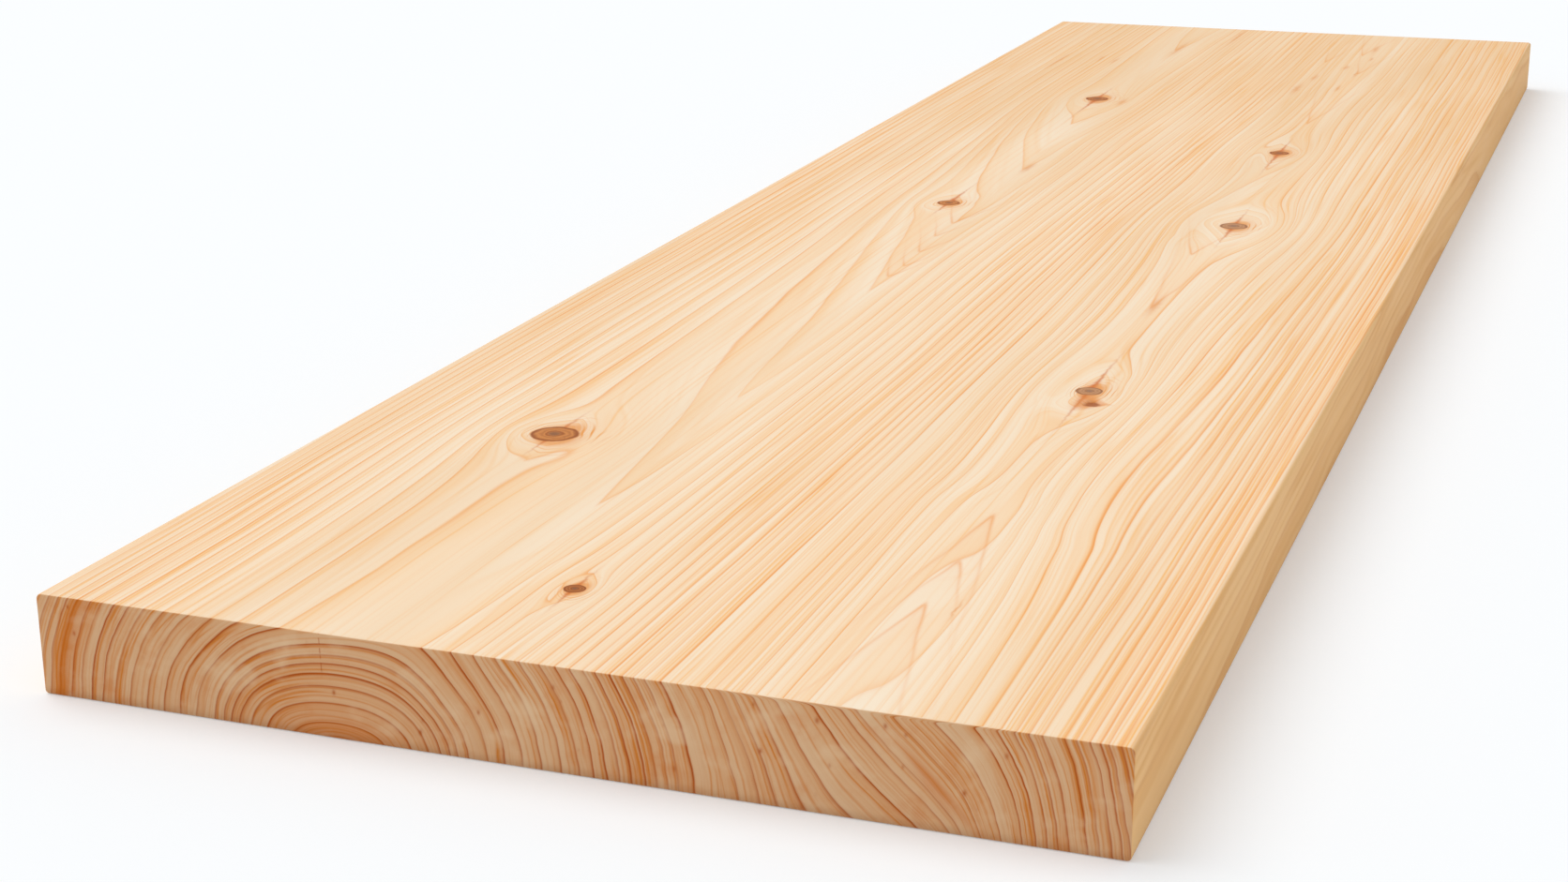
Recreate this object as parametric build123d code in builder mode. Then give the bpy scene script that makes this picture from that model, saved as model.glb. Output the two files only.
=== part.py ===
from build123d import *
import os

# A softwood board: one length of planed stock, cross-cut square at both ends and lying on its back.
# Millimetres. X runs across the width, Y along the length and grain, and Z is up.
# The origin is the centre of the underside.

# Driving dimensions
board_length = 1080.0
board_width = 290.0
board_thickness = 28.0
face_arris_radius = 1.5  # the two long edges of the upper face, eased by the planer
back_arris_radius = 1.0  # the two long edges of the underside, eased less
end_bevel = 0.5  # the sawn edges round both ends, broken by hand

# The section is drawn across the middle of the board and grows both ways along the grain.
with BuildPart() as plank:
    with BuildSketch(Plane.XZ) as section:
        with Locations((0, board_thickness / 2)):
            Rectangle(board_width, board_thickness)
        fillet(section.vertices().group_by(Axis.Y)[-1], radius=face_arris_radius)
        fillet(section.vertices().group_by(Axis.Y)[0], radius=back_arris_radius)
    extrude(amount=board_length / 2, both=True)

    # Both saw cuts leave a sharp rim, which is broken all the way round.
    end_cuts = plank.faces().filter_by(Axis.Y)
    chamfer(end_cuts.edges(), length=end_bevel)

plank.part.label = "plank"

os.makedirs("parts", exist_ok=True)
export_step(plank.part, "parts/plank.step")
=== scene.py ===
"""A planed softwood board, with its growth rings, knots and sawn ends, on a pale studio floor.

Lengths are millimetres in the classes and metres in Blender. On the board, across runs from the
left edge, along runs from the near end and up runs from the underside.
"""

from __future__ import annotations

import logging
import math
from collections.abc import Callable, Iterable, Sequence
from dataclasses import dataclass, field
from enum import Enum
from functools import reduce

import bmesh
import bpy
import numpy as np
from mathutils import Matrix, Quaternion, Vector

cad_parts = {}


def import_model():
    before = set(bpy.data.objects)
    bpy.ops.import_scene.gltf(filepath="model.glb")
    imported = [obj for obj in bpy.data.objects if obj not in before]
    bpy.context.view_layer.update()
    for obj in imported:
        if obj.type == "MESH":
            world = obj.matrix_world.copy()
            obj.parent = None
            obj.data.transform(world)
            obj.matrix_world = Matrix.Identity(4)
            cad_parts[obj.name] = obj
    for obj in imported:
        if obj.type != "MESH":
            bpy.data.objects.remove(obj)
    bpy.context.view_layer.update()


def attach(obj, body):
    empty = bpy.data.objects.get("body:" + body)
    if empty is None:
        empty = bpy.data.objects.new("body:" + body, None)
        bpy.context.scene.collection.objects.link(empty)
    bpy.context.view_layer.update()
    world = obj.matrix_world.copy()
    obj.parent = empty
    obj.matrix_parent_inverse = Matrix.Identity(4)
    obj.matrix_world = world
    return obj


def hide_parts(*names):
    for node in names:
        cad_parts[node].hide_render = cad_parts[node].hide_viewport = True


LOG = logging.getLogger("board")
MM = 0.001
# How close, in metres, two places have to be to count as one.
NEAR = 1e-6
# How much of a face's normal points along the board where it belongs to a sawn end.
END_FACING = 0.7
# The bare rim of the board's flat map, as a share of it.
MAP_MARGIN = 0.005

Colour = tuple[float, float, float]
Span = tuple[float, float]
Points = Sequence[Span]
WHITE: Colour = (1.0, 1.0, 1.0)


def linear(red: float, green: float, blue: float) -> Colour:
    """Turns a screen colour into the light values that shaders work with.

    Args:
        red: Red from 0 to 255.
        green: Green from 0 to 255.
        blue: Blue from 0 to 255.

    Returns:
        The three linear values.
    """
    shares = (value / 255 for value in (red, green, blue))
    return tuple(s / 12.92 if s <= 0.04045 else ((s + 0.055) / 1.055) ** 2.4 for s in shares)


class Signal:
    """A number that varies over a surface: a node's socket on which Python's sums work."""

    def __init__(self, bench: NodeBench, socket: bpy.types.NodeSocket) -> None:
        """Keeps the bench that adds nodes and the socket that gives the number."""
        self.bench = bench
        self.socket = socket

    def _sum(self, operation: str, *others: Signal | float) -> Signal:
        """Adds the Math node of an operation that starts with this signal."""
        return self.bench.math(operation, self, *others)

    def __add__(self, other: Signal | float) -> Signal:
        """Gives self + other."""
        return self._sum("ADD", other)

    def __radd__(self, other: float) -> Signal:
        """Gives other + self."""
        return self._sum("ADD", other)

    def __sub__(self, other: Signal | float) -> Signal:
        """Gives self - other."""
        return self._sum("SUBTRACT", other)

    def __rsub__(self, other: float) -> Signal:
        """Gives other - self."""
        return self.bench.math("SUBTRACT", other, self)

    def __mul__(self, other: Signal | float) -> Signal:
        """Gives self * other."""
        return self._sum("MULTIPLY", other)

    def __rmul__(self, other: float) -> Signal:
        """Gives other * self."""
        return self._sum("MULTIPLY", other)

    def __truediv__(self, other: Signal | float) -> Signal:
        """Gives self / other."""
        if isinstance(other, Signal):
            return self._sum("DIVIDE", other)
        return self._sum("MULTIPLY", 1.0 / other)

    def __rtruediv__(self, other: float) -> Signal:
        """Gives other / self."""
        return self.bench.math("DIVIDE", other, self)

    def __neg__(self) -> Signal:
        """Gives -self."""
        return self._sum("MULTIPLY", -1.0)

    def __abs__(self) -> Signal:
        """Gives the size of self."""
        return self._sum("ABSOLUTE")

    def squared(self) -> Signal:
        """Gives self * self."""
        return self._sum("MULTIPLY", self)

    def root(self) -> Signal:
        """Gives the square root."""
        return self._sum("SQRT")

    def exp(self) -> Signal:
        """Gives e to the power of self."""
        return self._sum("EXPONENT")

    def sine(self) -> Signal:
        """Gives the sine of self in radians."""
        return self._sum("SINE")

    def floor(self) -> Signal:
        """Gives the whole number below."""
        return self._sum("FLOOR")

    def least(self, other: Signal | float) -> Signal:
        """Gives the smaller of the two."""
        return self._sum("MINIMUM", other)

    def most(self, other: Signal | float) -> Signal:
        """Gives the larger of the two."""
        return self._sum("MAXIMUM", other)

    def bell(self, middle: float, width: float) -> Signal:
        """Gives a bell curve round middle, 1 at its top and 1/e a width away."""
        offset = (self - middle) / width
        return (-offset.squared()).exp()

    def step(self, start: float, end: float, low: float = 0.0, high: float = 1.0) -> Signal:
        """Passes smoothly from one value to another.

        Args:
            start: Where the change starts.
            end: Where it ends.
            low: The value up to start.
            high: The value from end on.

        Returns:
            The smooth step.
        """
        values = {"Value": self, "From Min": start, "From Max": end, "To Min": low, "To Max": high}
        settings = {"interpolation_type": "SMOOTHSTEP"}
        return self.bench.signal("ShaderNodeMapRange", settings, values)


def largest(signals: Iterable[Signal]) -> Signal:
    """Gives the largest of some signals at each point."""
    return reduce(Signal.most, signals)


def smallest(signals: Iterable[Signal]) -> Signal:
    """Gives the smallest of some signals at each point."""
    return reduce(Signal.least, signals)


def total(signals: Iterable[Signal]) -> Signal:
    """Gives the sum of some signals."""
    return reduce(Signal.__add__, signals)


def hypotenuse(aside: Signal, ahead: Signal) -> Signal:
    """Gives the length of the way aside and ahead."""
    return (aside.squared() + ahead.squared()).root()


@dataclass(frozen=True)
class Place:
    """A point of the board in its maker's directions, and how deep it lies under the face."""

    across: Signal
    along: Signal
    up: Signal
    depth: Signal

    def lumps(
        self, wide: float, long: float, high: float, shift: float = 0.0, detail: float = 1.0
    ) -> Signal:
        """Gives soft noise about 0 in lumps of a size.

        Args:
            wide: Their size across the board.
            long: Their size along it.
            high: Their size upwards.
            shift: A number that picks another pattern.
            detail: How many finer layers lie on it.

        Returns:
            The noise.
        """
        x, y, z = self.across / wide, self.along / long, self.up / high
        return self.up.bench.noise(x, y, z + shift if shift else z, detail)


class NodeBench:
    """Adds nodes to one tree and joins them."""

    def __init__(self, tree: bpy.types.NodeTree) -> None:
        """Takes over a tree and clears it."""
        self.tree = tree
        tree.nodes.clear()

    def node(
        self,
        kind: str,
        settings: dict[str, object] | None = None,
        values: dict[str | int, object] | None = None,
        points: Points = (),
        handles: str = "VECTOR",
    ) -> bpy.types.Node:
        """Makes a node.

        Args:
            kind: The node's type.
            settings: Its own settings by name, which are set first.
            values: Values or signals of its inputs, by name or number.
            points: The points of its curve, where it has one.
            handles: How the curve runs through them.

        Returns:
            The node.
        """
        made = self.tree.nodes.new(kind)
        for name, value in (settings or {}).items():
            setattr(made, name, value)
        if points:
            self._draw(made.mapping, points, handles)
        for key, value in (values or {}).items():
            self._feed(made.inputs[key], value)
        return made

    def _draw(self, mapping: bpy.types.CurveMapping, points: Points, handles: str) -> None:
        """Puts the points of a curve in place of the two that it starts with.

        Args:
            mapping: The node's curves, of which the first is drawn.
            points: The points, from left to right.
            handles: How the curve runs through them.
        """
        curve = mapping.curves[0]
        curve.points[0].location = points[0]
        curve.points[1].location = points[-1]
        for point in points[1:-1]:
            curve.points.new(*point)
        for point in curve.points:
            point.handle_type = handles
        mapping.update()

    def _feed(self, socket: bpy.types.NodeSocket, value: object) -> None:
        """Links a signal to an input, or sets its value.

        Args:
            socket: The input.
            value: The signal or value.
        """
        if isinstance(value, Signal):
            self.tree.links.new(value.socket, socket)
        elif isinstance(value, tuple) and socket.type == "RGBA":
            socket.default_value = (*value[:3], 1.0)
        else:
            socket.default_value = value

    def signal(
        self,
        kind: str,
        settings: dict[str, object] | None = None,
        values: dict[str | int, object] | None = None,
        output: str | int = 0,
        **more: object,
    ) -> Signal:
        """Makes a node and gives one of its outputs.

        Args:
            kind: The node's type.
            settings: Its own settings by name.
            values: Values or signals of its inputs.
            output: The output's name or number.
            **more: What node() takes besides.

        Returns:
            The output as a signal.
        """
        made = self.node(kind, settings, values, **more)
        return Signal(self, made.outputs[output])

    def math(self, operation: str, *values: Signal | float) -> Signal:
        """Adds a Math node and gives its result."""
        return self.signal("ShaderNodeMath", {"operation": operation}, dict(enumerate(values)))

    def vector(self, x: Signal | float, y: Signal | float, z: Signal | float) -> Signal:
        """Joins three numbers into a vector."""
        return self.signal("ShaderNodeCombineXYZ", None, {0: x, 1: y, 2: z})

    def curve(
        self, value: Signal, reach: float, height: float, points: Points, handles: str = "VECTOR"
    ) -> Signal:
        """Reads a drawn curve.

        Args:
            value: Where on the curve to read.
            reach: The curve's whole length in the same unit.
            height: The curve's whole height.
            points: Its points, in those units.
            handles: VECTOR for straight runs, AUTO for a smooth line.

        Returns:
            The height of the curve.
        """
        drawn = [(x / reach, y / height) for x, y in points]
        values = {"Value": value / reach}
        read = self.signal("ShaderNodeFloatCurve", None, values, points=drawn, handles=handles)
        return read * height

    def noise(
        self, x: Signal | float, y: Signal | float, z: Signal | float = 0.0, detail: float = 1.0
    ) -> Signal:
        """Gives soft noise about 0, mostly within a quarter.

        Args:
            x: First coordinate, in grains of the noise.
            y: Second coordinate.
            z: Third coordinate, or a number to pick another pattern.
            detail: How many finer layers lie on it.

        Returns:
            The noise.
        """
        settings = {"noise_dimensions": "3D", "normalize": True}
        values = {"Vector": self.vector(x, y, z), "Scale": 1.0, "Detail": detail}
        return self.signal("ShaderNodeTexNoise", settings, values) - 0.5

    def blend(self, share: Signal, under: Signal | Colour, over: Signal | Colour) -> Signal:
        """Mixes two colours.

        Args:
            share: How much of the second shows, from 0 to 1.
            under: The first colour.
            over: The second colour.

        Returns:
            The mixed colour.
        """
        settings = {"data_type": "RGBA", "clamp_factor": True}
        values = {0: share, 6: under, 7: over}
        return self.signal("ShaderNodeMix", settings, values, output=2)


@dataclass(frozen=True)
class Knot:
    """A branch that the board was cut across, and how it bends the grain round it."""

    across: float
    along: float
    radius: float
    # Where its middle leaves the back of the board.
    root: float
    # Half the width of the eye that the grain makes round it, and its length in widths.
    eye: float
    long: float
    # How much younger the wood in the eye is.
    swell: float
    # How far its seams run to the near end and to the far one.
    near_tail: float
    far_tail: float
    # Its share of the radius at the back, and how proud of the face it stands.
    taper: float = 0.35
    lift: float = 0.12

    def aside(self, place: Place) -> Signal:
        """Gives how far right of the branch's slanted middle a point lies."""
        slope = (self.root - self.across) / BOARD.thickness
        return place.across - self.across - place.depth * slope


KNOTS = (
    Knot(68.9, 170.1, 7.6, 88, 13.5, 1.9, 14, near_tail=22, far_tail=26),
    Knot(130.8, 49.4, 3.0, 100, 6.0, 2.6, 7, near_tail=16, far_tail=15),
    Knot(214.2, 269.8, 4.5, 205, 12.5, 3.4, 15, near_tail=46, far_tail=50),
    Knot(213.7, 526.7, 5.8, 204, 18.0, 2.6, 22, near_tail=40, far_tail=34),
    Knot(205.0, 689.5, 4.6, 196, 10.5, 3.6, 11, near_tail=55, far_tail=40),
    Knot(88.1, 532.6, 4.9, 88, 9.5, 2.2, 5, near_tail=26, far_tail=46),
    Knot(88.3, 807.9, 6.0, 88, 11.5, 3.2, 12, near_tail=64, far_tail=40),
)


@dataclass(frozen=True)
class PitchPocket:
    """A slit of pitch beside a knot."""

    across: float = 218.4
    along: float = 256.8
    half_width: float = 3.4
    half_length: float = 3.2
    depth: float = 0.5


@dataclass(frozen=True)
class Fleck:
    """A short orange streak of pitch in the face."""

    across: float
    along: float
    half_length: float
    half_width: float


FLECKS = (
    Fleck(228.6, 68.0, 6.0, 0.5),
    Fleck(211.0, 386.0, 12.0, 1.6),
    Fleck(101.0, 618.0, 10.0, 1.5),
    Fleck(103.0, 802.0, 9.0, 1.7),
    Fleck(37.3, 925.0, 26.0, 0.9),
    Fleck(59.0, 941.0, 9.0, 0.8),
    Fleck(68.4, 935.0, 10.0, 0.8),
    Fleck(94.6, 990.0, 22.0, 1.6),
    Fleck(119.0, 1050.0, 30.0, 1.0),
    Fleck(183.5, 872.0, 14.0, 1.8),
    Fleck(187.0, 912.0, 9.0, 1.1),
    Fleck(204.4, 880.0, 8.0, 1.0),
    Fleck(198.5, 952.0, 7.0, 1.2),
    Fleck(207.0, 930.0, 9.0, 0.9),
    Fleck(208.0, 986.0, 6.0, 0.8),
    Fleck(205.5, 1024.0, 12.0, 1.3),
)


@dataclass(frozen=True)
class Arch:
    """Two lines that run out from a point where a ring just touches the face.

    Left and right say how fast each one moves aside, and opens is 1 where they run towards
    the far end and -1 where they run towards the near one.
    """

    across: float
    along: float
    left: float
    right: float
    length: float
    opens: float = 1.0


ARCHES = (
    Arch(220.0, 71.0, 0.165, 0.21, 48.0, opens=-1.0),
    Arch(219.0, 104.0, 0.16, 0.26, 26.0, opens=-1.0),
    Arch(218.3, 143.0, 0.13, 0.17, 55.0, opens=-1.0),
    Arch(104.4, 396.0, 0.30, 0.22, 15.0),
    Arch(105.0, 414.0, 0.30, 0.22, 14.0),
    Arch(103.8, 439.0, 0.30, 0.22, 18.0),
    Arch(101.7, 468.0, 0.30, 0.22, 16.0),
    Arch(101.0, 493.0, 0.29, 0.22, 30.0),
    Arch(210.0, 380.0, 0.10, 0.09, 55.0),
    Arch(207.3, 469.0, 0.22, 0.17, 32.0),
    Arch(206.2, 646.6, 0.14, 0.15, 24.0),
    Arch(205.4, 767.9, 0.10, 0.11, 60.0),
    Arch(207.9, 928.5, 0.12, 0.12, 40.0),
    Arch(184.6, 965.7, 0.11, 0.12, 30.0),
    Arch(201.1, 996.3, 0.12, 0.14, 45.0),
)


@dataclass(frozen=True)
class Board:
    """The board's sizes, which are the solid's own."""

    length: float = 1080.0
    width: float = 290.0
    thickness: float = 28.0
    face_arris: float = 1.5
    back_arris: float = 1.0
    end_bevel: float = 0.5


BOARD = Board()


@dataclass(frozen=True)
class Grain:
    """How the grain runs at a point.

    Grown is how far from the pith it grew, beside is how far right it stands among the fibres,
    and steep is how fast grown rises over the face.
    """

    grown: Signal
    beside: Signal
    steep: Signal


@dataclass(frozen=True)
class GrowthRings:
    """The tree's yearly rings: how far a point of the board lies from the pith."""

    pith_across: float = 88.6
    pith_up: float = -3.0
    # How far from the pith the table of rings reaches.
    reach: float = 222.0
    # How deep under the face the grain's sideways moves fade, and the strip's flatness.
    face_reach: float = 9.0
    skin_reach: float = 0.2
    # The middle and the width of the heart strip, and of the grain that gathers at the right.
    heart_band: Span = (102.0, 27.0)
    gather_band: Span = (240.0, 17.0)
    strip_from: float = 200.0
    strip_width: float = 19.0
    # How far the rings lean at the back, where most, and how wide the lean is on both sides.
    lean_most: float = 19.0
    lean_across: float = 244.0
    lean_left: float = 34.0
    lean_right: float = 17.0
    # How much more they lean at the right, and over which stretch that grows.
    lean_more: float = 3.0
    lean_more_over: Span = (200.0, 260.0)
    # How far the rings rise in a ridge over the pith, over which stretch, and how wide it is.
    ridge_rise: float = 2.0
    ridge_over: Span = (60.0, 400.0)
    ridge_width: float = 24.0
    # Ring widths from the pith outwards, with how dark each ring's last growth is.
    rings: Points = (
        (7.0, 0.5), (6.1, 0.9), (7.0, 1.0), (4.5, 0.7), (3.0, 0.8), (2.6, 0.6), (2.0, 0.6),
        (2.8, 0.85), (5.7, 0.8), (4.9, 0.95), (4.8, 0.7), (4.9, 0.8), (5.3, 0.85), (4.6, 0.7),
        (3.8, 0.85), (3.6, 0.8), (3.1, 0.5), (2.8, 0.85), (3.7, 1.0), (2.8, 0.6), (2.7, 0.5),
        (2.4, 0.5), (3.8, 1.0), (9.8, 0.5), (4.0, 0.5), (3.2, 0.45), (4.2, 0.8), (5.1, 0.6),
        (8.9, 0.9), (6.6, 0.7), (3.4, 0.5), (8.4, 0.7), (9.6, 0.8), (9.1, 1.0), (5.3, 0.85),
        (3.8, 0.7), (3.3, 0.8), (3.0, 0.6), (5.2, 0.85), (2.6, 0.7), (3.0, 0.85), (2.4, 0.9),
        (1.6, 0.7), (2.9, 0.8), (2.9, 0.7), (2.8, 0.6), (3.0, 0.6), (4.0, 0.6), (5.0, 0.6),
    )  # fmt: skip
    # How far the pith has climbed in the board, along it.
    climb: Points = (
        (0, 0.1), (122, 2.4), (230, 4.5), (373, 5.6), (439, 7.2), (493, 8.3), (611, 11.8),
        (728, 16.6), (983, 22.5), (1080, 24),
    )  # fmt: skip
    # How far the middle of the heart strip has moved to the right at the face, along it.
    drift: Points = (
        (0, 9), (60, 17), (122, 22), (173, 21), (300, 20), (373, 17), (447, 14.5), (611, 13),
        (728, 7), (1080, 8),
    )  # fmt: skip
    # The middle of the second strip, measured from strip_from, along it.
    strip: Points = (
        (0, 23.5), (71, 21), (104, 19.5), (143, 18), (200, 17), (270, 14), (522, 13), (690, 5),
        (870, 6), (1080, 6),
    )  # fmt: skip
    # How flat the grain lies in the second strip, along it.
    lull: Points = (
        (0, 0.95), (143, 0.9), (190, 0.5), (270, 0.6), (340, 0.5), (400, 0.6), (450, 0.75),
        (522, 0.85), (590, 0.6), (690, 0.6), (780, 0.3), (880, 0.6), (1006, 0.9), (1080, 0.92),
    )  # fmt: skip
    # How far the grain right of the second strip has moved to the left, along it.
    gather: Points = (
        (0, 0), (60, 2), (120, 6), (180, 10), (240, 9), (330, 6), (450, 3), (1080, 2),
    )  # fmt: skip

    def edges(self) -> list[float]:
        """Adds up the rings.

        Returns:
            The distance from the pith at which each ring ends, from 0 on.
        """
        ends = [0.0]
        for width, _ in self.rings:
            ends.append(ends[-1] + width)
        return ends

    def _read(self, bench: NodeBench, along: Signal, height: float, points: Points) -> Signal:
        """Reads a table along the board, whose values stay under height."""
        return bench.curve(along, BOARD.length, height, points, "AUTO")

    def grain(self, bench: NodeBench, place: Place) -> Grain:
        """Works out how the grain runs at a point.

        Args:
            bench: Where the nodes go.
            place: The point.

        Returns:
            The grain, in millimetres of the end's own rings.
        """
        across, along, up = place.across, place.along, place.up
        near_face = (place.depth / -self.face_reach).exp()
        skin = (place.depth.most(0.0) / -self.skin_reach).exp()
        waves = place.lumps(38, 220, 38) * 3.0 + place.lumps(8, 70, 8, 7.0, detail=2.0) * 1.1
        stir = place.lumps(19, 27, 19, 60.0, detail=0.0) * 9.0
        bends = [self._round(knot, place, stir) for knot in KNOTS]
        moved = across + waves - total(shift for shift, _ in bends)
        drift = self._read(bench, along, 30.0, self.drift) * across.bell(*self.heart_band)
        gather = self._read(bench, along, 20.0, self.gather) * across.bell(*self.gather_band)
        fibres = moved + gather * near_face
        moved = fibres - drift * near_face
        beside = moved - self._read(bench, along, 30.0, self.strip) - self.strip_from
        lull = self._read(bench, along, 1.0, self.lull) * beside.bell(0, self.strip_width)
        moved = moved - beside * lull * skin
        lean = self._lean(moved) * place.depth / BOARD.thickness
        sideways = moved - lean - self.pith_across
        ridge = (-(sideways.squared() + 1.0).root() / self.ridge_width).exp()
        ridge = ridge * along.step(*self.ridge_over, 0, self.ridge_rise)
        swelling = total(bulge for _, bulge in bends)
        grown = self._from_pith(bench, sideways, along, up) - ridge * near_face - swelling
        grown = abs(grown)
        steep = abs(sideways) / (grown + 8.0) * (1.0 - lull * 0.8)
        return Grain(grown, fibres, steep.most(0.25).least(1.0))

    def _lean(self, moved: Signal) -> Signal:
        """Lets the rings lean to the right at the back, most of all near the edge.

        Args:
            moved: How far right the point stands among the fibres.

        Returns:
            How far they lean there.
        """
        offset = moved - self.lean_across
        lopsided = offset.least(0.0) / self.lean_left + offset.most(0.0) / self.lean_right
        more = moved.step(*self.lean_more_over, 0, self.lean_more)
        return (-lopsided.squared()).exp() * self.lean_most + more

    def _from_pith(self, bench: NodeBench, sideways: Signal, along: Signal, up: Signal) -> Signal:
        """Gives the distance from the climbing pith, over rings that are flat near it.

        Args:
            bench: Where the nodes go.
            sideways: How far right of the pith.
            along: Where on the board.
            up: How high.

        Returns:
            The distance.
        """
        lag = 1.0 - (abs(sideways) / -12).exp()
        climb = self._read(bench, (along - lag * 60.0).most(0.0), 30.0, self.climb)
        height = (up - self.pith_up - climb).squared()
        rough = (sideways.squared() + height * 1.35).root()
        roundness = 0.85 - rough.bell(0.0, 22.0) * 0.35
        return (sideways.squared() + height / roundness.squared()).root()

    def _round(self, knot: Knot, place: Place, stir: Signal) -> tuple[Signal, Signal]:
        """Bends the grain round one knot, in an eye that is pointed at both ends.

        Args:
            knot: The knot.
            place: The point.
            stir: Soft noise that makes the eye uneven.

        Returns:
            How far the grain is pushed aside, and how much younger the wood there is.
        """
        aside = knot.aside(place)
        ahead = (place.along - knot.along) / knot.long
        apart = aside.squared() + ahead.squared()
        reach = (knot.eye * 0.75) ** 2
        shift = aside * reach / apart.most(reach)
        aside = aside + stir
        within = abs(aside) + hypotenuse(aside, ahead * 2.0 + stir)
        return shift, (-(within / (1.3 * knot.eye)).squared()).exp() * knot.swell


@dataclass(frozen=True)
class WoodTones:
    """The colours of one cut of the wood, as light values, and how its grain shows."""

    early: Colour
    late: Colour
    glaze: Colour
    line: Colour
    line_width: float
    line_depth: float
    wash: float
    hair: float
    contrast: float
    strand: float = 0.0


FACE_TONES = WoodTones(
    early=linear(249, 229, 202),
    late=linear(249, 208, 160),
    glaze=linear(248, 180, 96),
    line=linear(241, 156, 76),
    line_width=0.48,
    line_depth=0.78,
    wash=0.20,
    hair=0.42,
    contrast=0.7,
    strand=0.42,
)
EDGE_TONES = WoodTones(
    early=linear(246, 199, 137),
    late=linear(240, 185, 121),
    glaze=linear(224, 160, 84),
    line=linear(212, 142, 72),
    line_width=0.38,
    line_depth=0.35,
    wash=0.15,
    hair=0.38,
    contrast=0.8,
)
END_TONES = WoodTones(
    early=linear(222, 185, 145),
    late=linear(213, 157, 106),
    glaze=linear(206, 124, 50),
    line=linear(172, 74, 0),
    line_width=0.52,
    line_depth=0.98,
    wash=0.42,
    hair=0.68,
    contrast=0.5,
)


@dataclass(frozen=True)
class StainsAndShade:
    """The colours that lie over the plain wood: its stains, and a painted shade at the foot of the
    sawn ends.
    """

    warmth: Colour = linear(229, 174, 104)
    resin: Colour = linear(202, 108, 20)
    pale: Colour = linear(232, 200, 160)
    # Painted shade that darkens the sawn ends towards their foot.
    painted_foot_shade: Colour = linear(150, 92, 48)
    curl: Colour = linear(236, 158, 80)
    halo: Colour = linear(232, 150, 70)
    seam: Colour = linear(212, 112, 40)
    fleck: Colour = linear(228, 146, 72)
    pitch_rim: Colour = linear(226, 134, 52)
    pitch: Colour = linear(152, 72, 18)


STAINS_AND_SHADE = StainsAndShade()


@dataclass(frozen=True)
class KnotTones:
    """The colours of a cut branch: its wood, its rings and rim, and its middle."""

    wood: Colour
    ring: Colour
    core: Colour


BROWN_KNOTS = KnotTones(linear(208, 132, 66), linear(146, 72, 22), linear(128, 84, 54))
GREY_KNOTS = KnotTones(linear(198, 144, 100), linear(152, 94, 54), linear(142, 104, 80))


@dataclass(frozen=True)
class Stretches:
    """Where the looks of the wood change: each change's start and end, in millimetres."""

    # Along the board, how the wood warms and where the near and the far knots have aged.
    warm: Span = (380.0, BOARD.length)
    near_aged: Span = (60.0, 100.0)
    far_aged: Span = (600.0, 640.0)
    # Across it, where the grey knots start.
    grey: Span = (150.0, 190.0)
    # Upwards, where the strands and the arches come out, and where the painted shade at the foot
    # of the ends fades out.
    strands: Span = (20.0, 27.0)
    arches: Span = (24.0, 27.5)
    painted_foot_shade: Span = (0.2, 3.0)


STRETCHES = Stretches()


@dataclass(frozen=True)
class EndMarks:
    """The marks of the sawn ends, in millimetres."""

    # How far from the pith the warm heart fades.
    heart: Span = (4.0, 27.0)
    # How far from the pith the left band and its wash lie, how wide they are, and where it ends.
    band: Span = (82.0, 1.4)
    band_wash: Span = (79.6, 3.0)
    band_end: Span = (30.0, 50.0)
    # Where the slanted smudge passes, how high that is, and how far aside it goes on its way down.
    smudge_across: float = 236.5
    smudge_up: float = 19.5
    smudge_slant: float = 0.92
    # How far beside the pith the ray stands, how wide it is, and where it comes out.
    ray: Span = (-4.2, 0.16)
    ray_over: Span = (16.0, 18.5)


END_MARKS = EndMarks()


@dataclass(frozen=True)
class Growth:
    """Where in its year the wood at a point grew.

    Before and after are how far it lies from its year's end and the last one's, share is how
    much of the year had passed, strength is how dark the line at the year's end is, hair is 1
    in the fine lines between two years, tone runs slowly from ring to ring about 0, and strand
    is 1 in the fibres that show on a planed face.
    """

    before: Signal
    after: Signal
    share: Signal
    strength: Signal
    hair: Signal
    tone: Signal
    strand: Signal


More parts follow.
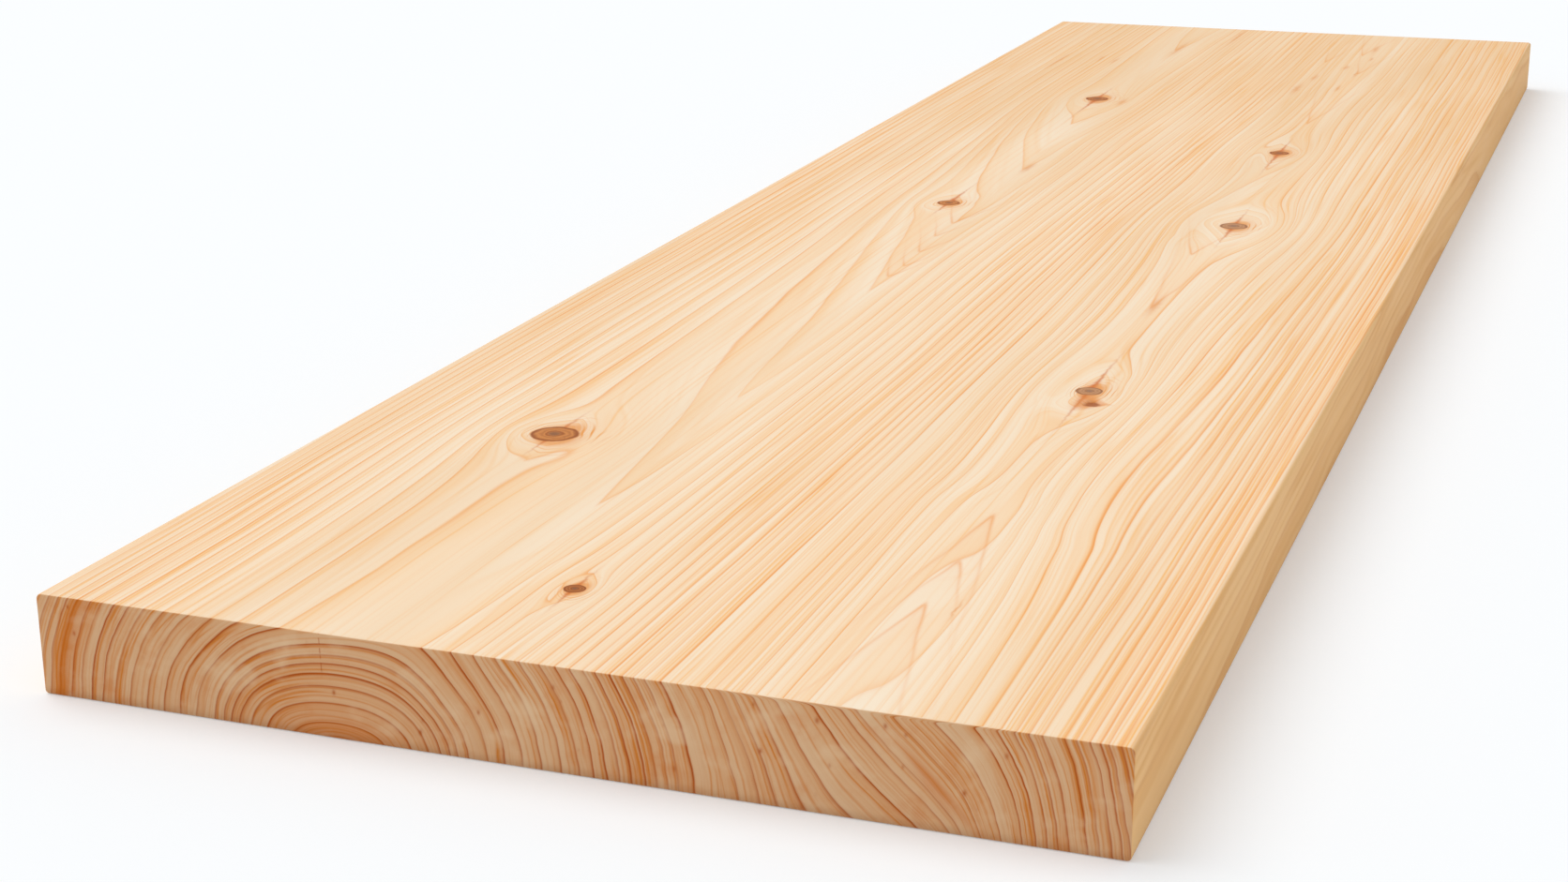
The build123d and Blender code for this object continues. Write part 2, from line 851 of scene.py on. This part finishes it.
class SoftwoodFinish:
    """The wood: one solid pattern that runs through the board and shows on all its faces."""

    def __init__(self, rings: GrowthRings) -> None:
        """Starts the material and reads the point of the board from its own coordinates.

        Args:
            rings: The rings that the pattern follows.
        """
        self.rings = rings
        self.material = bpy.data.materials.new("planed_softwood")
        self.material.use_nodes = True
        self.bench = NodeBench(self.material.node_tree)
        coordinates = self.bench.signal("ShaderNodeTexCoord", output="Object")
        parts = self.bench.node("ShaderNodeSeparateXYZ", None, {0: coordinates})
        x, y, z = (Signal(self.bench, socket) / MM for socket in parts.outputs)
        self.place = Place(x + BOARD.width / 2, y + BOARD.length / 2, z, BOARD.thickness - z)

    def make(self) -> bpy.types.Material:
        """Builds the material.

        Returns:
            The material.
        """
        bench, place = self.bench, self.place
        grain = self.rings.grain(bench, place)
        growth = self._growth(grain)
        end = self._rim(place.along, BOARD.length, BOARD.end_bevel, 0.1)
        edge = self._rim(place.across, BOARD.width, 1.3, 0.2)
        colour = self._wood(growth, FACE_TONES, grain.steep)
        colour = bench.blend(edge, colour, self._wood(growth, EDGE_TONES))
        colour = self._knots(self._length_tone(self._arches(colour)))
        end_colour = self._end(grain.grown, self._wood(growth, END_TONES))
        sheen = place.lumps(3, 60, 3) * 0.2 + 0.6
        values = {
            "Base Color": bench.blend(end, colour, end_colour),
            "Roughness": sheen + end * 0.25,
            "Specular IOR Level": 0.15,
            "Normal": self._relief(),
        }
        shader = bench.signal("ShaderNodeBsdfPrincipled", None, values)
        bench.node("ShaderNodeOutputMaterial", None, {"Surface": shader})
        return self.material

    def _rim(self, value: Signal, size: float, start: float, full: float) -> Signal:
        """Gives 1 at both ends of a size, and 0 from start on inside them."""
        half = size / 2
        return abs(value - half).step(half - start, half - full)

    def _growth(self, grain: Grain) -> Growth:
        """Works out where in its year the wood at the point grew.

        Args:
            grain: How the grain runs there.

        Returns:
            Its growth.
        """
        bench, place, grown = self.bench, self.place, grain.grown
        edges = self.rings.edges()
        reach = self.rings.reach
        count = len(self.rings.rings)
        ends = list(zip(edges, range(count + 1)))
        years = bench.curve(grown, reach, count, ends)
        nearby = 0.8
        later = bench.curve(grown + nearby, reach, count, ends)
        earlier = bench.curve(grown - nearby, reach, count, ends)
        width = 2 * nearby / (later - earlier).most(0.12)
        year = years.floor()
        share = years - year
        darks = [(edge, dark) for edge, (_, dark) in zip(edges[1:], self.rings.rings)]
        strength = bench.curve(grown, reach, 1.0, [(0.0, 0.5), *darks])
        fade = bench.noise(year * 3.7, place.along / 140, place.up / 30) * 2.6 + 0.95
        drawn_out = place.along / 230 + place.across / 90 + place.up / 55
        coarse = bench.noise(grown / 2.3, drawn_out, 3.0)
        fine = bench.noise(grown / 0.9, drawn_out * 1.3, 9.0)
        shown = bench.noise(grown / 6.0, drawn_out * 1.6, 15.0) * 4.0 + 0.6
        hair = coarse.bell(0, 0.035) + fine.bell(0, 0.06) * 0.35
        hair = hair * shown.least(1.0).most(0.1) + self._false_rings(year, share, width)
        return Growth(
            before=(1 - share) * width,
            after=share * width,
            share=share,
            strength=strength * fade.most(0.15).least(1.5),
            hair=hair,
            tone=bench.noise(grown / 3.5, drawn_out * 0.8, 27.0, detail=2.0),
            strand=self._strands(grain.beside),
        )

    def _strands(self, beside: Signal) -> Signal:
        """Draws the thin lines of the fibres along a planed face.

        Args:
            beside: How far right the point stands among the fibres.

        Returns:
            1 on such a line.
        """
        lines: list[Signal] = []
        for spacing, weight in ((4.7, 1.0), (2.9, 0.6)):
            sway = self.bench.noise(beside / 13, self.place.along / 700, spacing)
            count = beside / spacing + sway * 2.4
            number = count.floor()
            seed = self.bench.noise(number * 3.1, self.place.along / 170, spacing * 7.0)
            aside = (count - number - 0.5 + seed * 0.25) * spacing
            shown = (seed * 3.0 + 0.45).most(0.0).least(1.0)
            lines.append(aside.bell(0.0, 0.34) * shown * weight)
        return largest(lines) * self.place.up.step(*STRETCHES.strands)

    def _false_rings(self, year: Signal, share: Signal, width: Signal) -> Signal:
        """Draws the faint lines that dry weeks left inside a year.

        Args:
            year: The year.
            share: How much of it had passed.
            width: How wide its ring is.

        Returns:
            1 on such a line.
        """
        lines: list[Signal] = []
        for third in (1, 2):
            pattern = year * 5.3 + third * 31.7
            seed = self.bench.noise(pattern, self.place.along / 260, self.place.up / 60, detail=0)
            line = ((share - third / 3 - seed * 0.4) * width).bell(0, 0.26)
            lines.append(line * (seed * 4.0 + 0.7).most(0.0).least(1.0))
        return total(lines)

    def _arches(self, colour: Signal) -> Signal:
        """Draws the arches of the two strips where the grain lies flat.

        Args:
            colour: The wood so far.

        Returns:
            The colour.
        """
        place = self.place
        across = place.across + self.bench.noise(place.across / 14, place.along / 36, 61.0) * 2.4
        lines: list[Signal] = []
        for arch in ARCHES:
            aside = across - arch.across
            ahead = (place.along - arch.along) * arch.opens
            slope = aside.step(-1.0, 1.0, arch.left, arch.right)
            inside = ahead * slope - (aside.squared() + 0.1).root()
            wash = inside.step(-0.3, 0.3) * (inside / -2.2).exp() * 0.45
            fade = ahead.step(-2.0, 4.0) * (ahead / -arch.length).exp()
            lines.append((inside.bell(0.0, 0.55) + wash) * fade)
        shown = largest(lines) * place.up.step(*STRETCHES.arches)
        return self.bench.blend(shown * 0.52, colour, FACE_TONES.line)

    def _wood(self, growth: Growth, tones: WoodTones, steep: Signal | float = 0.8) -> Signal:
        """Colours one cut of the wood.

        Args:
            growth: The wood's growth.
            tones: The cut's colours.
            steep: How fast the rings pass over the cut.

        Returns:
            The colour.
        """
        before = growth.before / steep
        late = growth.share.squared() * 0.5 + growth.tone * tones.contrast + 0.2
        colour = self.bench.blend(late, tones.early, tones.late)
        wash = (before / (-5.0 * tones.line_width)).exp() * growth.strength * tones.wash
        hair = growth.hair * tones.hair * steep + growth.strand * tones.strand
        colour = self.bench.blend(hair + wash, colour, tones.glaze)
        inner = (-(before / tones.line_width).squared()).exp()
        outer = (-(growth.after / steep / (0.5 * tones.line_width)).squared()).exp()
        line = inner.most(outer) * growth.strength * (steep * 0.8 + 0.35) * tones.line_depth
        return self.bench.blend(line.least(0.96), colour, tones.line)

    def _length_tone(self, colour: Signal) -> Signal:
        """Warms the wood towards the far end and in slow patches.

        Args:
            colour: The wood so far.

        Returns:
            The colour.
        """
        patch = self.place.lumps(30, 260, 40, detail=2.0)
        warm = self.place.along.step(*STRETCHES.warm, 0.0, 0.30) + patch * 0.7 + 0.02
        return self.bench.blend(warm, colour, STAINS_AND_SHADE.warmth)

    def _end(self, grown: Signal, colour: Signal) -> Signal:
        """Adds what only a sawn end shows: resin, a warm heart, rays and pale patches; it also
        paints a shade that darkens the end towards its foot.

        Args:
            grown: The point's distance from the pith.
            colour: The end's wood so far.

        Returns:
            The colour.
        """
        bench, across, up = self.bench, self.place.across, self.place.up
        marks = END_MARKS
        cloud = self.place.lumps(9, 9, 9, 21.0, detail=4.0)
        smear = bench.noise(grown / 2.4, across / 30 + up / 40, 33.0, detail=3.0)
        heart = grown.step(*marks.heart, 0.6, 0.0)
        band = grown.bell(*marks.band) * 0.6 + grown.bell(*marks.band_wash) * 0.35
        band = band * across.step(*marks.band_end, 1, 0)
        smudge_line = across - marks.smudge_across - (marks.smudge_up - up) * marks.smudge_slant
        smudge = smudge_line.bell(0.0, 2.0) * up.bell(11.5, 8.0)
        warm = cloud.step(0.02, 0.3, 0, 0.4) + smear.step(0.10, 0.36, 0, 0.35) + heart
        warm = warm + band + smudge * (smear * 3.0 + 0.9)
        colour = bench.blend(warm.least(0.85), colour, STAINS_AND_SHADE.resin)
        pale = self.place.lumps(13, 16, 10, 40.0, detail=3.0)
        colour = bench.blend(pale.step(0.0, 0.25, 0, 0.45), colour, STAINS_AND_SHADE.pale)
        # Painted shade: the end darkens over its lowest few millimetres, where it meets the floor.
        colour = bench.blend(up.step(*STRETCHES.painted_foot_shade, 0.22, 0), colour, STAINS_AND_SHADE.painted_foot_shade)
        ray = (across - self.rings.pith_across + up * 0.03).bell(*marks.ray)
        ray = ray * up.step(*marks.ray_over) * bench.noise(up / 2.0, 5.0).step(-0.12, 0.05)
        return bench.blend(ray * 0.7 + self._resin(), colour, END_TONES.line)

    def _resin(self) -> Signal:
        """Strews small drops of resin over the end.

        Returns:
            How strongly a drop shows.
        """
        place = self.place
        spot = self.bench.vector(place.across / 4.5, place.along / 4.5, place.up / 6.5)
        cells = self.bench.node("ShaderNodeTexVoronoi", None, {"Vector": spot, "Scale": 1.0})
        apart = Signal(self.bench, cells.outputs["Distance"])
        pick = Signal(self.bench, cells.outputs["Color"])
        size = (pick.step(0.45, 1.0) * 0.13).most(0.0001)
        return (-(apart / size).squared()).exp() * 0.75

    def _near_knots(self, wobble: Signal) -> tuple[Signal, Signal, Signal]:
        """Measures how near the closest knot is.

        Args:
            wobble: Soft noise.

        Returns:
            The distance from its middle, in its radii, the same over its long eye, and how
            strongly the thin dark seams show that run from the knots along the grain.
        """
        discs: list[Signal] = []
        ovals: list[Signal] = []
        seams: list[Signal] = []
        for knot in KNOTS:
            aside = knot.aside(self.place)
            ahead = self.place.along - knot.along
            narrowing = (1.0 - knot.taper) / BOARD.thickness
            radius = (1.0 - self.place.depth * narrowing) * knot.radius
            discs.append(hypotenuse(aside, ahead) / radius)
            oval = hypotenuse(aside, ahead / (0.6 + 0.4 * knot.long)) / radius
            ovals.append(oval * aside.step(-4, 4, 1.5, 1.0))
            reach = (-ahead).most(0.0) / knot.near_tail + ahead.most(0.0) / knot.far_tail
            width = 0.4 + (reach * -6.0).exp() * (knot.radius * 0.42)
            beside = (aside + wobble * 1.6) / width
            seams.append((-beside.squared() - reach.squared() * 2.2).exp() * 0.95)
        return smallest(discs), smallest(ovals), largest(seams)

    def _knots(self, colour: Signal) -> Signal:
        """Draws the knots over the wood.

        Args:
            colour: The wood so far.

        Returns:
            The colour.
        """
        bench = self.bench
        wobble = self.place.lumps(4, 4, 9, detail=2.0)
        swirl = self.place.lumps(9, 12, 9, 50.0, detail=0.0)
        nearest, oval, seam = self._near_knots(wobble)
        nearest = nearest + wobble * 0.16
        oval = oval + swirl * 0.5
        colour = self._flecks(wobble, colour)
        curls = (oval * 17.0).sine().step(0.45, 1.0) * oval.step(1.2, 2.9, 0.6, 0.0)
        curls = curls * (swirl * 5.0 + 0.6).most(0.0)
        colour = bench.blend(curls, colour, STAINS_AND_SHADE.curl)
        halo = (-((oval - 1.0).most(0.0) / 0.28)).exp()
        colour = bench.blend(halo * 0.75, colour, STAINS_AND_SHADE.halo)
        colour = bench.blend(seam, colour, STAINS_AND_SHADE.seam)
        colour = bench.blend(nearest.step(0.93, 1.06, 1, 0), colour, self._disc(nearest, wobble))
        return self._pitch(wobble, colour)

    def _disc(self, out: Signal, wobble: Signal) -> Signal:
        """Colours the cut branches themselves.

        Args:
            out: How far the point is from the nearest knot's middle, 1 at its rim.
            wobble: Soft noise.

        Returns:
            The colour.
        """
        bench, across, along = self.bench, self.place.across, self.place.along
        near_aged, far_aged = STRETCHES.near_aged, STRETCHES.far_aged
        grey = across.step(*STRETCHES.grey) * along.step(*far_aged, 1, 0)
        aged = along.step(*near_aged, 0.45, 0.0) + along.step(*far_aged, 0.0, 0.3)
        disc = bench.blend(grey, BROWN_KNOTS.wood, GREY_KNOTS.wood)
        ring = bench.blend(grey, BROWN_KNOTS.ring, GREY_KNOTS.ring)
        core = bench.blend(grey, BROWN_KNOTS.core, GREY_KNOTS.core)
        swirl = ((out + wobble * 0.35) * 24).sine() * 0.2 + 0.18
        disc = bench.blend(swirl + aged, disc, ring)
        disc = bench.blend(out.bell(0.93, 0.11) * 0.8, disc, ring)
        disc = bench.blend(out.step(0.16, 0.34, 0.75, 0.0), disc, core)
        return bench.blend(out.bell(0.33, 0.07) * 0.6, disc, ring)

    def _flecks(self, wobble: Signal, colour: Signal) -> Signal:
        """Lays the short orange streaks of the face.

        Args:
            wobble: Soft noise.
            colour: The wood so far.

        Returns:
            The colour.
        """
        streaks: list[Signal] = []
        for fleck in FLECKS:
            ahead = (self.place.along - fleck.along) / fleck.half_length
            aside = (self.place.across - fleck.across + wobble * 2.2) / fleck.half_width
            streaks.append((-ahead.squared() - aside.squared()).exp())
        return self.bench.blend(largest(streaks) * self._skin() * 0.55, colour, STAINS_AND_SHADE.fleck)

    def _pitch(self, wobble: Signal, colour: Signal) -> Signal:
        """Fills the pitch pocket.

        Args:
            wobble: Soft noise.
            colour: The wood so far.

        Returns:
            The colour.
        """
        pocket = PitchPocket()
        aside = (self.place.across - pocket.across) / pocket.half_width
        taper = (1.15 - aside * 0.6).most(0.3) * pocket.half_length
        ahead = (self.place.along - pocket.along) / taper
        near = hypotenuse(aside, ahead) + wobble * 0.5
        skin = self._skin()
        colour = self.bench.blend(near.step(0.6, 2.4, 0.8, 0) * skin, colour, STAINS_AND_SHADE.pitch_rim)
        return self.bench.blend(near.step(0.4, 1.1, 0.95, 0) * skin, colour, STAINS_AND_SHADE.pitch)

    def _skin(self) -> Signal:
        """Gives 1 at the face, fading with depth as pitch does."""
        return (self.place.depth / -3.0).exp()

    def _relief(self) -> Signal:
        """Raises the cut fibres a little.

        Returns:
            The normal of the fine relief.
        """
        fibres = self.place.lumps(0.5, 22, 0.5, detail=2.0)
        values = {"Strength": 0.1, "Distance": 0.0003, "Height": fibres}
        return self.bench.signal("ShaderNodeBump", None, values)


def read_all(items: Sequence[object], name: str, kind: type, each: int = 1) -> np.ndarray:
    """Reads one value of all a mesh's items into an array.

    Args:
        items: The mesh's points, corners or faces.
        name: The value's name.
        kind: The type of its numbers.
        each: How many numbers each item has.

    Returns:
        The numbers, in one row.
    """
    values = np.empty(len(items) * each, kind)
    items.foreach_get(name, values)
    return values


class Strip(Enum):
    """The strips of the board's flat map: the axis that faces out, its sign and its place."""

    FACE = (2, 1, 0.005, 0.405)
    BACK = (2, -1, 0.415, 0.655)
    LEFT = (0, -1, 0.665, 0.715)
    RIGHT = (0, 1, 0.725, 0.775)
    NEAR = (1, -1, 0.785, 0.887)
    FAR = (1, 1, 0.895, 0.995)


@dataclass
class PlankBuilder:
    """Models the board from its near end, as a sawyer's drawing would lay it out."""

    board: Board = BOARD
    knots: Sequence[Knot] = KNOTS
    pocket: PitchPocket = field(default_factory=PitchPocket)
    margin: float = 2.0
    cell: float = 1.0
    bay: float = 27.0
    fine_step: float = 2.0
    least_step: float = 0.8
    # How much of a knot's radius rises, and how far the rise and the pocket's dent run out.
    knot_core: float = 0.8
    knot_fade: float = 3.0
    pocket_fade: float = 1.5
    smooth_angle: float = 35.0

    def build(self) -> bpy.types.Object:
        """Models the board.

        Returns:
            The finished piece.
        """
        piece = self._near_end()
        self._extrude_length()
        self._ease_edges()
        self._raise_knots()
        bpy.ops.object.mode_set(mode="OBJECT")
        self._unfold(piece.data)
        bpy.ops.object.shade_smooth_by_angle(angle=math.radians(self.smooth_angle))
        return piece

    def _near_end(self) -> bpy.types.Object:
        """Lays out the near end: a grid of fibres with a plain margin round it.

        Returns:
            The board, so far only its near end.
        """
        board = self.board
        inner = (board.width - 2 * self.margin, board.thickness - 2 * self.margin)
        bpy.ops.mesh.primitive_grid_add(
            x_subdivisions=round(inner[0] / self.cell),
            y_subdivisions=round(inner[1] / self.cell),
            size=1.0,
            location=(0.0, 0.0, 0.0),
        )
        piece = bpy.context.active_object
        piece.name = piece.data.name = "softwood_plank"
        bpy.ops.object.mode_set(mode="EDIT")
        bpy.ops.transform.resize(value=(inner[0] * MM, inner[1] * MM, 1.0))
        for axis, side in ((0, 1), (0, -1), (1, 1), (1, -1)):
            limit = inner[axis] / 2 * MM - NEAR
            self._choose_edges(lambda point: point[axis] * side > limit)
            move = [0.0, 0.0, 0.0]
            move[axis] = side * self.margin * MM
            bpy.ops.mesh.extrude_region_move(TRANSFORM_OT_translate={"value": move})
        bpy.ops.mesh.select_all(action="SELECT")
        bpy.ops.transform.rotate(
            value=-math.pi / 2, orient_axis="X", center_override=(0.0, 0.0, 0.0)
        )
        place = (0.0, -board.length / 2 * MM, board.thickness / 2 * MM)
        bpy.ops.transform.translate(value=place)
        return piece

    def _choose_edges(self, passes: Callable[[Vector], bool], rim: bool = False) -> None:
        """Selects the edges whose two ends pass a test, and nothing else.

        Args:
            passes: The test of an end's place.
            rim: Whether to choose only the edges at which a sawn end stops.
        """
        bpy.ops.mesh.select_mode(type="EDGE")
        bpy.ops.mesh.select_all(action="DESELECT")
        mesh = bmesh.from_edit_mesh(bpy.context.active_object.data)
        for edge in mesh.edges:
            on_end = {abs(face.normal.y) > END_FACING for face in edge.link_faces}
            if rim and on_end != {True, False}:
                continue
            if all(passes(corner.co) for corner in edge.verts):
                edge.select_set(True)
        bmesh.update_edit_mesh(bpy.context.active_object.data)

    def _stations(self) -> list[float]:
        """Plans the cuts across the board, closer where a knot or a pocket needs them.

        Returns:
            Where along the board they are.
        """
        last = self.board.length - self.margin
        cuts = list(np.linspace(self.margin, last, round(self.board.length / self.bay)))
        spots = [(knot.along, knot.radius, self.fine_step) for knot in self.knots]
        spots.append((self.pocket.along, self.pocket.half_length, self.fine_step / 2))
        for along, half_length, step in spots:
            reach = half_length + self.fine_step
            cuts += list(np.arange(along - reach, along + reach, step))
        kept = [0.0]
        for cut in sorted(cuts):
            if cut - kept[-1] > self.least_step:
                kept.append(float(cut))
        return [*kept, self.board.length]

    def _extrude_length(self) -> None:
        """Draws the end out to the board's length, cut by cut."""
        bpy.ops.mesh.select_mode(type="FACE")
        bpy.ops.mesh.select_all(action="SELECT")
        stations = self._stations()
        for start, end in zip(stations, stations[1:]):
            move = {"value": (0.0, (end - start) * MM, 0.0)}
            bpy.ops.mesh.extrude_region_move(TRANSFORM_OT_translate=move)
        bpy.ops.mesh.select_all(action="SELECT")
        bpy.ops.mesh.remove_doubles(threshold=NEAR)
        bpy.ops.mesh.normals_make_consistent(inside=False)

    def _ease_edges(self) -> None:
        """Eases the long edges as the planer does, then breaks the sawn ones."""
        board = self.board
        side, end = board.width / 2 * MM - NEAR, board.length / 2 * MM - NEAR
        face = board.thickness * MM - NEAR
        self._choose_edges(lambda point: abs(point.x) > side and point.z > face)
        bpy.ops.mesh.bevel(offset=board.face_arris * MM, segments=4, affect="EDGES")
        self._choose_edges(lambda point: abs(point.x) > side and point.z < NEAR)
        bpy.ops.mesh.bevel(offset=board.back_arris * MM, segments=3, affect="EDGES")
        self._choose_edges(lambda point: abs(point.y) > end, rim=True)
        bpy.ops.mesh.bevel(offset=board.end_bevel * MM, segments=2, affect="EDGES")

    def _raise_knots(self) -> None:
        """Lets the hard knots stand a hair proud of the planed face, and sinks the pocket."""
        bpy.ops.mesh.select_mode(type="VERT")
        for knot in self.knots:
            core = knot.radius * self.knot_core
            self._lift((knot.across, knot.along), (core, core), knot.lift, self.knot_fade)
        pocket = self.pocket
        size = (pocket.half_width, pocket.half_length)
        self._lift((pocket.across, pocket.along), size, -pocket.depth, self.pocket_fade)

    def _lift(self, spot: Span, size: Span, height: float, fade: float) -> None:
        """Lifts an oval of the face, and less and less of the wood round it.

        Args:
            spot: Its middle, across and along.
            size: Half its width and half its length.
            height: How far it rises, or sinks where this is negative.
            fade: How far round it the lift runs out.
        """
        board = self.board
        bpy.ops.mesh.select_all(action="DESELECT")
        mesh = bmesh.from_edit_mesh(bpy.context.active_object.data)
        for corner in mesh.verts:
            if corner.co.z < board.thickness * MM - 10 * NEAR:
                continue
            aside = (corner.co.x / MM + board.width / 2 - spot[0]) / size[0]
            ahead = (corner.co.y / MM + board.length / 2 - spot[1]) / size[1]
            if aside**2 + ahead**2 < 1:
                corner.select_set(True)
        mesh.select_flush(True)
        bmesh.update_edit_mesh(bpy.context.active_object.data)
        bpy.ops.transform.translate(
            value=(0.0, 0.0, height * MM),
            use_proportional_edit=True,
            proportional_edit_falloff="SMOOTH",
            proportional_size=fade * MM,
            use_proportional_connected=True,
        )

    def _unfold(self, mesh: bpy.types.Mesh) -> None:
        """Lays the board's faces in strips of a flat map, for its textures.

        Args:
            mesh: The board's mesh.
        """
        board = self.board
        size = np.array([board.width, board.length, board.thickness]) * MM
        low = np.array([-board.width / 2, -board.length / 2, 0.0]) * MM
        points = read_all(mesh.vertices, "co", np.float32, 3).reshape(-1, 3)
        normals = read_all(mesh.polygons, "normal", np.float32, 3).reshape(-1, 3)
        corners = read_all(mesh.loops, "vertex_index", np.int32)
        counts = read_all(mesh.polygons, "loop_total", np.int32)
        shares = ((points - low) / size)[corners]
        facing = np.repeat(normals, counts, axis=0)
        flat = np.zeros((len(corners), 2), np.float32)
        outward = np.abs(facing).argmax(axis=1)
        for strip in Strip:
            axis, sign, start, end = strip.value
            run, rise = {0: (1, 2), 1: (0, 2), 2: (1, 0)}[axis]
            chosen = (outward == axis) & (facing[:, axis] * sign > 0)
            flat[chosen, 0] = MAP_MARGIN + (1.0 - 2 * MAP_MARGIN) * shares[chosen, run]
            flat[chosen, 1] = start + (end - start) * shares[chosen, rise]
        layer = mesh.uv_layers.new(name="OFBake")
        layer.data.foreach_set("uv", flat.ravel())


@dataclass
class Studio:
    """The pale floor, the soft light and the camera."""

    floor_colour: Colour = (0.945, 0.94, 0.93)
    # A hair's breadth under the board, so that the two never share a plane.
    floor_gap: float = 0.1
    floor_size: float = 40.0
    sky_colour: Colour = (0.90, 0.95, 1.0)
    floor_glow: float = 0.22
    world_strength: float = 0.70
    sun_strength: float = 1.40
    sun_softness: float = 50.0
    sun_from: tuple[float, float, float] = (-0.50, 0.08, 0.86)
    lens: float = 58.34
    sensor_width: float = 36.0
    camera_place: tuple[float, float, float] = (250.85, -1051.5, 263.73)
    camera_aim: tuple[float, float, float] = (-6.5, -353.3, 28.0)
    camera_roll: float = -0.34

    def build(self) -> None:
        """Sets up everything round the board."""
        self._floor()
        self._sky()
        self._sun()
        self._camera()
        bpy.context.scene.view_settings.view_transform = "Standard"

    def _floor(self) -> None:
        """Lays the floor, which looks a little whiter than it lights the board."""
        place = (0.0, 0.0, -self.floor_gap * MM)
        bpy.ops.mesh.primitive_plane_add(size=self.floor_size, location=place)
        floor = bpy.context.active_object
        floor.name = "studio_floor"
        material = bpy.data.materials.new("pale_floor")
        material.use_nodes = True
        bench = NodeBench(material.node_tree)
        values = {"Base Color": self.floor_colour, "Roughness": 0.9, "Specular IOR Level": 0.0}
        paint = bench.signal("ShaderNodeBsdfPrincipled", None, values)
        glow = bench.signal("ShaderNodeEmission", None, {"Color": WHITE, "Strength": 1.0})
        seen = bench.signal("ShaderNodeLightPath", output="Is Camera Ray") * self.floor_glow
        mix = bench.signal("ShaderNodeMixShader", None, {0: seen, 1: paint, 2: glow})
        bench.node("ShaderNodeOutputMaterial", None, {"Surface": mix})
        floor.data.materials.append(material)

    def _sky(self) -> None:
        """Makes the even surroundings, which look white and light the board a little cooler."""
        world = bpy.data.worlds.new("studio")
        bpy.context.scene.world = world
        world.use_nodes = True
        bench = NodeBench(world.node_tree)
        seen = bench.signal("ShaderNodeLightPath", output="Is Camera Ray")
        strength = seen * (1.0 - self.world_strength) + self.world_strength
        tint = bench.blend(seen, self.sky_colour, WHITE)
        sky = bench.signal("ShaderNodeBackground", None, {"Color": tint, "Strength": strength})
        bench.node("ShaderNodeOutputWorld", None, {"Surface": sky})

    def _sun(self) -> None:
        """Hangs the large soft lamp on the left."""
        lamp = bpy.data.lights.new("soft_lamp", "SUN")
        lamp.energy = self.sun_strength
        lamp.angle = math.radians(self.sun_softness)
        self._hang(lamp, Vector(self.sun_from).to_track_quat("Z", "Y"))

    def _camera(self) -> None:
        """Places the camera at the photograph's viewpoint."""
        camera = bpy.data.cameras.new("camera")
        camera.lens = self.lens
        camera.sensor_width = self.sensor_width
        camera.clip_start, camera.clip_end = 0.01, 100.0
        place, aim = Vector(self.camera_place) * MM, Vector(self.camera_aim) * MM
        turn = (aim - place).to_track_quat("-Z", "Y")
        roll = Quaternion((0.0, 0.0, 1.0), math.radians(self.camera_roll))
        holder = self._hang(camera, turn @ roll)
        holder.location = place
        bpy.context.scene.camera = holder

    def _hang(self, data: bpy.types.ID, turn: Quaternion) -> bpy.types.Object:
        """Puts a lamp or a camera in the studio.

        Args:
            data: The lamp or camera.
            turn: Which way it points.

        Returns:
            Its object.
        """
        holder = bpy.data.objects.new(data.name, data)
        bpy.context.scene.collection.objects.link(holder)
        holder.rotation_mode = "QUATERNION"
        holder.rotation_quaternion = turn
        return holder


def main() -> None:
    """Builds the studio and the board."""
    logging.basicConfig(level=logging.INFO, format="%(name)s: %(message)s")
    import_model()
    bpy.ops.object.select_all(action="DESELECT")
    Studio().build()
    bpy.ops.object.select_all(action="DESELECT")
    plank = PlankBuilder().build()
    plank.data.materials.append(SoftwoodFinish(GrowthRings()).make())
    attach(plank, "root")
    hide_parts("plank")
    LOG.info("plank: %d faces", len(plank.data.polygons))


if __name__ == "__main__":
    main()
